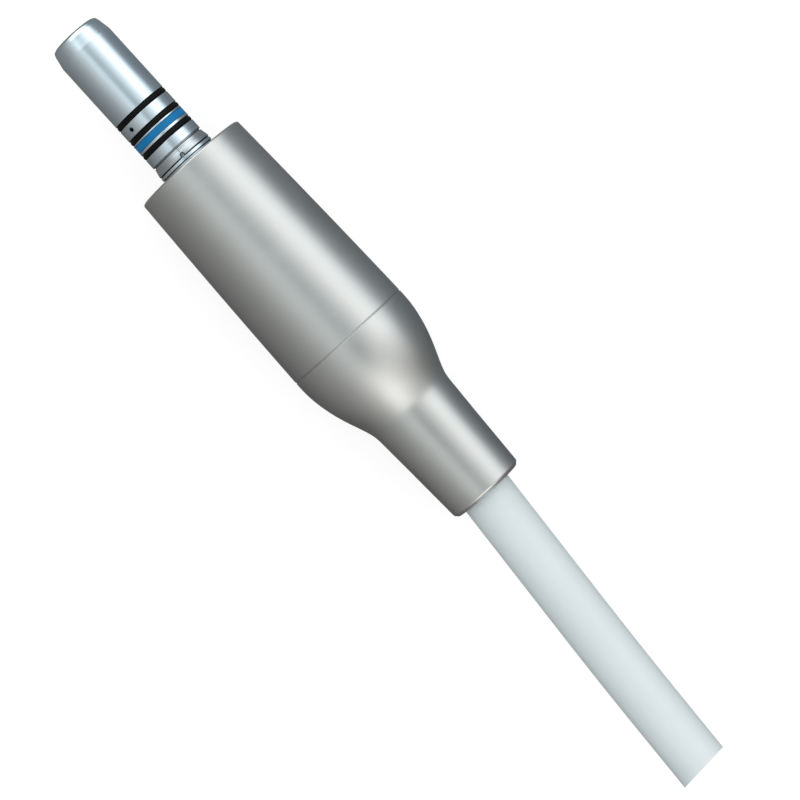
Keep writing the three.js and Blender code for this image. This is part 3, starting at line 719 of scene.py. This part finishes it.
# ==================================================================== handle barrel
# (x, r) along the barrel's skin; the skin is the parabola that fits them best
BARREL = [(0.0, 9.53), (7.6, 9.8), (15.2, 10.035), (22.7, 10.26), (30.3, 10.43), (35.3, 10.53)]
barrel_fit = np.polyfit(*np.array(BARREL).T, 2)


def barrel_r(x):
    return float(np.polyval(barrel_fit, x))


barrel_outline = (
    [(0.0, 4.95, 0.12), (0.0, barrel_r(0.3), 0.42)]
    + [(x, barrel_r(x)) for x in np.linspace(0.8, 34.7, 36)]
    + [(35.12, barrel_r(35.12), 0.06), (35.2, barrel_r(35.2) - 0.09, 0.02),
       (35.38, barrel_r(35.2) - 0.1, 0.03), (35.38, 8.8, 0.03), (1.5, 8.8), (1.5, 4.95)]
)
barrel = turned("handle_barrel_fine", rounded(barrel_outline), SKIN_SEGMENTS, "satin_metal")
mark_edges(fit(barrel, ["handle_barrel"], "motor"))

# ==================================================================== coupling sleeve
# (x, r) along the sleeve's skin, front to rear
SLEEVE = [
    (35.8, 10.545), (37.0, 10.53), (38.6, 10.41), (40.3, 10.14), (42.0, 9.75),
    (43.7, 9.24), (45.4, 8.62), (47.0, 7.98), (48.3, 7.5), (49.2, 7.24),
    (50.2, 7.1), (52.0, 7.0), (56.0, 6.8), (60.5, 6.6), (65.4, 6.38),
]
sleeve_front_r = barrel_r(35.31)
sleeve_outline = (
    [(35.45, 8.95, 0.05), (35.45, sleeve_front_r - 0.07, 0.02),
     (35.32, sleeve_front_r - 0.07, 0.01), (35.4, sleeve_front_r, 0.06)]
    + spline(SLEEVE, 120)
    + [(66.19, 6.346, 0.46), (66.7, 5.83, 0.12), (66.7, 5.5, 0.1), (65.2, 4.97), (63.8, 4.97),
       (63.2, 5.5), (51.0, 5.5), (46.6, 6.3), (44.2, 6.3), (44.2, 8.0), (42.05, 8.0),
       (42.05, 8.8), (41.4, 8.8), (41.4, 8.95)]
)
sleeve = turned("coupling_sleeve_fine", rounded(sleeve_outline, steps=10), SKIN_SEGMENTS,
                "satin_metal")
mark_edges(fit(sleeve, ["coupling_sleeve"], "sleeve"))

# ==================================================================== thread on the motor's tail
THREAD_PITCH, THREAD_START = 1.25, 36.5
THREAD_ROOT_R, THREAD_DEPTH = 8.25, 0.5
THREAD_SEGMENTS = 144
# (x, r) of the rings that close the body, from the rear edge through the bore to the front
THREAD_BODY = [(40.8, 7.9), (40.8, 7.25), (40.7, 7.2), (32.5, 7.2), (32.4, 7.3), (32.4, 8.6),
               (32.5, 8.7), (35.05, 8.7), (35.12, 8.62), (35.14, 8.3)]


def unit(value):
    return min(1.0, max(0.0, value))


def thread_r(x, phi):
    """A male thread that follows the helix and fades out at both ends."""
    turns = (x - THREAD_START) / THREAD_PITCH
    off_crest = (turns - phi / (2 * math.pi)) % 1.0
    off_crest = min(off_crest, 1 - off_crest) * THREAD_PITCH
    height = unit((0.335 - off_crest) / 0.2)
    fade = unit((turns + 0.45) * 2.5) * unit((2.9 - turns) * 2.0)
    chamfer = unit((x - 40.5) / 0.28)
    return THREAD_ROOT_R + THREAD_DEPTH * height * fade * (1 - chamfer) - 0.2 * chamfer


phis = [2 * math.pi * k / THREAD_SEGMENTS for k in range(THREAD_SEGMENTS)]
thread_rings = [axis_ring(x, [thread_r(x, phi) for phi in phis])
                for x in np.linspace(35.16, 40.78, 104)]
thread_rings += [axis_ring(x, [r] * THREAD_SEGMENTS) for x, r in THREAD_BODY]
thread = make("thread_ring_fine", *loft(thread_rings, closed=True), "turned_metal", sharp=50)
fit(thread, ["thread_ring"], "motor")

# ==================================================================== hose and its lines
PIVOT = np.array([65.0, -0.22, 0.0])  # where the straight root ends and the tilt is full
TILT_START, TILT_END = -4.35, -3.1  # degrees from +X, towards -Y
HOSE_LENGTH, HOSE_STEPS = 54.6, 110
ROOT_SPAN = 8.0  # over which the straight root turns into the tilted hose
UP = np.array([0.0, 0.0, 1.0])
CUT_POINT = np.array([119.985, -3.94, 0.0])
CUT_TURN, CUT_LEAN = math.radians(4.55), math.radians(9.55)
CUT_NORMAL = np.array([math.cos(CUT_LEAN) * math.cos(CUT_TURN),
                       math.cos(CUT_LEAN) * math.sin(CUT_TURN), math.sin(CUT_LEAN)])


def hose_line():
    """Centres and directions, front to rear: straight in the sleeve, then an easy curve."""
    free = []
    x, y = PIVOT[0], PIVOT[1]
    for i in range(HOSE_STEPS + 1):
        ease = max(0.0, (i / HOSE_STEPS - 0.45) / 0.55)
        tilt = math.radians(TILT_START + (TILT_END - TILT_START) * min(1.0, 1.5 * ease))
        c, s = math.cos(tilt), math.sin(tilt)
        free.append((np.array([x, y, 0.0]), np.array([c, s, 0.0])))
        x += c * HOSE_LENGTH / HOSE_STEPS
        y += s * HOSE_LENGTH / HOSE_STEPS
    root = []  # from the pivot forwards
    y, previous = PIVOT[1], 0.0
    for distance in np.linspace(0.4, 16.2, 40):
        u = min(1.0, distance / ROOT_SPAN)
        slope = math.tan(math.radians(TILT_START)) * (1 - u) ** 2 * (1 + 2 * u)
        y -= slope * (distance - previous)
        previous = distance
        way = np.array([1.0, slope, 0.0]) / math.hypot(1, slope)
        root.append((np.array([PIVOT[0] - distance, y, 0.0]), way))
    for i, (centre, _) in enumerate(root):  # the root ends on the axis
        centre[1] -= y * (i / (len(root) - 1))
    return root[::-1] + free


HOSE_LINE = hose_line()


def hose_piece(name, look, radius, bore, offset, count, start_x, cut_round, recess=0.0,
               nodes=()):
    """A tube, or a bar if bore is None, at an offset from the hose's line.

    Its cut end has edges rounded by cut_round and lies recess behind the cut's plane.
    """
    line = [(centre, way) for centre, way in HOSE_LINE if centre[0] >= start_x]

    def ring(centre, way, r, back=None):
        """A plain ring, or one moved along way to lie back from the cut's plane."""
        side = np.cross(UP, way)
        out = []
        for k in range(count):
            a = 2 * math.pi * k / count
            point = (centre + side * (offset[0] + r * math.cos(a))
                     + UP * (offset[1] + r * math.sin(a)))
            if back is not None:
                reach = ((CUT_POINT - point) @ CUT_NORMAL) / (way @ CUT_NORMAL)
                point = point + way * (reach - back)
            out.append(point)
        return out

    quarter = []  # (inward, back) steps round the cut's edge
    for k in range(5):
        a = math.pi / 2 * k / 4
        quarter.append((cut_round * (1 - math.cos(a)), cut_round * (1 - math.sin(a))))
    rings = [ring(*station, radius) for station in line[:-2]]
    rings += [ring(*line[-1], radius - inward, recess + back) for inward, back in quarter]
    if bore:
        rings += [ring(*line[-1], bore + outward, recess + back) for back, outward in quarter]
        rings += [ring(*station, bore) for station in line[-3::-1]]
    verts, faces = loft(rings, closed=bool(bore), capped=not bore)
    obj = fit(make(name, verts, faces, look, sharp=45), nodes)
    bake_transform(obj)


hose_piece("hose_fine", "hose_silicone", radius=4.2, bore=3.35, offset=(0, 0),
           count=120, start_x=49.0, cut_round=0.06, nodes=("hose_jacket", "hose_root"))

# node, material, radius, bore, angle and distance from the hose's centre; the cable comes last
HOSE_LINES = [
    ("hose_water_line", "blue_tubing", 0.9, 0.5, 90, 1.95),
    ("hose_air_line", "clear_tubing", 1.1, 0.7, 205, 1.8),
    ("hose_cable", "cable_sheath", 1.3, 1.06, 330, 1.7),
]
for node, look, radius, bore, angle, distance in HOSE_LINES:
    centre = (distance * math.cos(math.radians(angle)), distance * math.sin(math.radians(angle)))
    hose_piece(f"{node}_fine", look, radius, bore, centre, count=40, start_x=66.0,
               cut_round=0.04, recess=0.05, nodes=(node,))

cable_centre = centre
CORE_TONES = [(0.5, 0.04, 0.03), (0.55, 0.5, 0.42), (0.04, 0.12, 0.4), (0.5, 0.34, 0.03),
              (0.04, 0.25, 0.08)]
for k, tone in enumerate(CORE_TONES, 1):
    a = 2 * math.pi * (k - 1) / 5
    centre = (cable_centre[0] + 0.62 * math.cos(a), cable_centre[1] + 0.62 * math.sin(a))
    materials[f"core_{k}"] = plastic(f"core_{k}", tone, rough=0.35)
    hose_piece(f"cable_core_{k}", f"core_{k}", radius=0.34, bore=0.17,
               offset=centre, count=20, start_x=90.0, cut_round=0.03, recess=0.12)
    hose_piece(f"cable_wire_{k}", "copper_winding", radius=0.15, bore=None,
               offset=centre, count=12, start_x=90.0, cut_round=0.02, recess=0.02)

# ==================================================================== floor
FLOOR_Z = cad_lo.z - 0.00012  # metres
GRID, GRID_STEP = 13, 0.5  # points a side, and their spacing in metres
floor_verts, floor_faces = [], []
for i in range(GRID):
    for j in range(GRID):
        floor_verts.append(((i - 6) * GRID_STEP, (j - 6) * GRID_STEP, FLOOR_Z))
        if i < GRID - 1 and j < GRID - 1:
            a, b = i * GRID + j, (i + 1) * GRID + j
            floor_faces.append((a, b, b + 1, a + 1))
floor_mesh = bpy.data.meshes.new("floor")
floor_mesh.from_pydata(floor_verts, [], floor_faces)
floor_mesh.update()
floor = bpy.data.objects.new("floor", floor_mesh)
scene.collection.objects.link(floor)


def floor_material():
    """Glowing white paper."""
    s = Surface("floor", object_coord=False)
    tooth = s.noise(scale=900, detail=3, rough=0.5)
    s.set(base_color=(0.93, 0.93, 0.93), specular_ior_level=0.1,
          roughness=s.span(tooth, (0, 1), to=(0.85, 0.95)),
          normal=s.bump(tooth, strength=0.1, distance=0.00002))
    glow = s.node("Emission")
    s.put(glow.inputs["Color"], (1, 1, 1))
    # full strength for the camera, less as a light on the part
    s.put(glow.inputs["Strength"], s.math("MULTIPLY_ADD", s.ray("Is Camera Ray"), 0.56, 0.56))
    both = s.mix_shader(0.72, s.bsdf.outputs[0], glow.outputs[0])
    s.put(s.tree.nodes["Material Output"].inputs["Surface"], both)
    return s.material


floor_mesh.materials.append(floor_material())
floor.visible_glossy = False

# ==================================================================== world light
world = bpy.data.worlds.new("studio")
scene.world = world
world.use_nodes = True
world.node_tree.nodes.clear()
w = Graph(world.node_tree)

split = w.node("SeparateXYZ")
w.put(split.inputs[0], w.node("TexCoord").outputs["Generated"])
dir_x, dir_y, dir_z = split.outputs
# degrees about the handpiece's axis, from above towards +Y, and degrees along it towards +X
around = w.times(w.math("ARCTAN2", dir_y, dir_z), 180 / math.pi)
along = w.times(w.math("ARCSINE", dir_x, 0.0), 180 / math.pi)
to_nose = w.times(along, -1.0)


def around_fraction():
    return w.plus(w.times(around, 1 / 360), 0.5)


def strength(points, top):
    """A smooth curve of strength, up to top, through (degrees around, strength)."""
    node = w.node("FloatCurve")
    curve = node.mapping.curves[0]
    while len(curve.points) < len(points):
        curve.points.new(0.5, 0.5)
    for point, (angle, value) in zip(curve.points, points):
        point.location = (angle / 360 + 0.5, value / top)
        point.handle_type = "AUTO_CLAMPED"
    node.mapping.update()
    node.inputs["Factor"].default_value = 1.0
    w.put(node.inputs["Value"], around_fraction())
    return w.times(node.outputs[0], top)


def rise(angle, start, end):
    return w.span(angle, (start, end), kind="SMOOTHSTEP")


def fall(angle, start, end):
    return w.minus(1.0, rise(angle, start, end))


# Light seen in the metal: a soft room all round, and a large softbox on the upper side.
room = strength([
    (-180, 0.11), (-150, 0.11), (-137, 0.13), (-106, 0.235), (-85, 0.32), (-66, 0.415),
    (-49, 0.525), (-33, 0.58), (-18, 0.52), (-4, 0.325), (11, 0.39), (26, 0.54), (41, 0.52),
    (57, 0.46), (75, 0.36), (95, 0.225), (120, 0.15), (150, 0.12), (180, 0.11)], top=1.0)
key = strength([
    (-180, 0), (-60, 0), (-48, 0.05), (-33, 0.16), (-18, 0.34), (-10, 0.26), (-5, 0.02),
    (1, 0.0), (6, 0.14), (12, 0.26), (26, 0.52), (38, 0.9), (50, 1.16), (62, 1.14), (71, 0.84),
    (80, 0.4), (91, 0.08), (180, 0)], top=1.2)
# Panels overhead past each end of the part, and a fill towards the nose.
past_hose = strength([
    (-180, 0), (-110, 0.02), (-78, 0.07), (-55, 0.11), (-38, 0.36), (-20, 0.93), (-6, 1.27),
    (8, 1.05), (25, 0.5), (45, 0.18), (65, 0.05), (85, 0), (180, 0)], top=1.25)
past_nose = strength([
    (-180, 0), (-60, 0), (-35, 0.25), (-12, 0.85), (8, 0.85), (35, 0.5), (60, 0.3), (80, 0),
    (180, 0)], top=1.0)
nose_fill = strength([
    (-180, 0.1), (-140, 0.1), (-110, 0.05), (-80, 0), (-38, 0), (-25, 0.05), (-14, 0.29),
    (-4, 0.4), (6, 0.23), (16, 0.03), (26, 0), (85, 0), (110, 0.07), (140, 0.1), (180, 0.1)],
    top=0.45)
# A low strip beyond the hose end.
rim = strength([
    (-180, 0), (-120, 0), (-90, 0.8), (-60, 1.3), (-30, 1.4), (0, 1.3), (30, 1.4), (55, 1.2),
    (80, 0.4), (100, 0), (180, 0)], top=1.5)

total = w.times(room, w.minus(1.0, w.times(rise(along, 60, 80), 0.5)))
for light in (
    w.times(key, fall(along, 10, 36)),
    w.times(w.times(past_hose, rise(along, 16, 40)), fall(along, 52, 62)),
    w.times(w.times(rim, rise(along, 51, 56)), fall(along, 76, 84)),
    w.times(nose_fill, rise(to_nose, 2, 6)),
    w.times(past_nose, rise(to_nose, 18, 48)),
):
    total = w.plus(total, light)

# (degrees around, colour): cooler straight overhead, and on the +Y side past the softbox
TINTS = [
    (-180, (1.0, 1.0, 0.985)), (-45, (1.0, 1.0, 0.985)), (-20, (0.95, 1.0, 1.0)),
    (8, (0.935, 1.0, 1.03)), (28, (1.0, 1.0, 0.99)), (50, (1.0, 1.0, 0.985)),
    (95, (0.92, 1.0, 1.07)), (180, (0.92, 1.0, 1.07)),
]
tint = w.node("ValToRGB")
stops = tint.color_ramp.elements  # it starts with a stop at each end
for angle, _ in TINTS[1:-1]:
    stops.new(angle / 360 + 0.5)
for stop, (_, rgb) in zip(stops, TINTS):
    stop.color = (*rgb, 1)
w.put(tint.inputs["Fac"], around_fraction())

glossy = w.node("Background")
w.put(glossy.inputs["Strength"], total)
# past the hose end the tint gives way to one slightly warm white
w.put(glossy.inputs["Color"], w.mix(rise(along, 12, 32), tint.outputs["Color"], (1.02, 1.0, 0.97)))

# What lights rough and clear surfaces: brighter from above and from the +Y side.
plain = w.node("Background")
w.put(plain.inputs["Color"], (1, 1, 1))
soft = w.plus(w.times(w.math("MAXIMUM", dir_z, 0.0), 0.62), w.plus(w.times(dir_y, 0.28), 0.665))
w.put(plain.inputs["Strength"], w.math("MAXIMUM", soft, w.ray("Is Camera Ray")))

shown = w.mix_shader(w.ray("Is Glossy Ray"), plain.outputs[0], glossy.outputs[0])
w.put(w.node("OutputWorld").inputs["Surface"], shown)

# ==================================================================== camera
CAMERA_ROLL = math.radians(47.75)  # about the view, which looks almost straight down
CAMERA_AT = Vector((0.031256 - ORIGIN_X * MM, -0.000573, 0.522))
CAMERA_AIM = Vector((0.047669 - ORIGIN_X * MM, -0.0006, 0.0))

camera_data = bpy.data.cameras.new("camera")
camera = bpy.data.objects.new("camera", camera_data)
scene.collection.objects.link(camera)
camera_data.sensor_width = 36
camera_data.lens = 155.55
camera_data.clip_start, camera_data.clip_end = 0.01, 50
backward = (CAMERA_AT - CAMERA_AIM).normalized()
view_up = Vector((-math.sin(CAMERA_ROLL), math.cos(CAMERA_ROLL), 0))
x_axis = view_up.cross(backward).normalized()
y_axis = backward.cross(x_axis)
turn = Matrix((x_axis, y_axis, backward)).transposed().to_4x4()
camera.matrix_world = Matrix.Translation(CAMERA_AT) @ turn
scene.camera = camera

scene.view_settings.view_transform = "Standard"
scene.view_settings.look = "None"
scene.view_settings.exposure = 0
scene.view_settings.gamma = 1
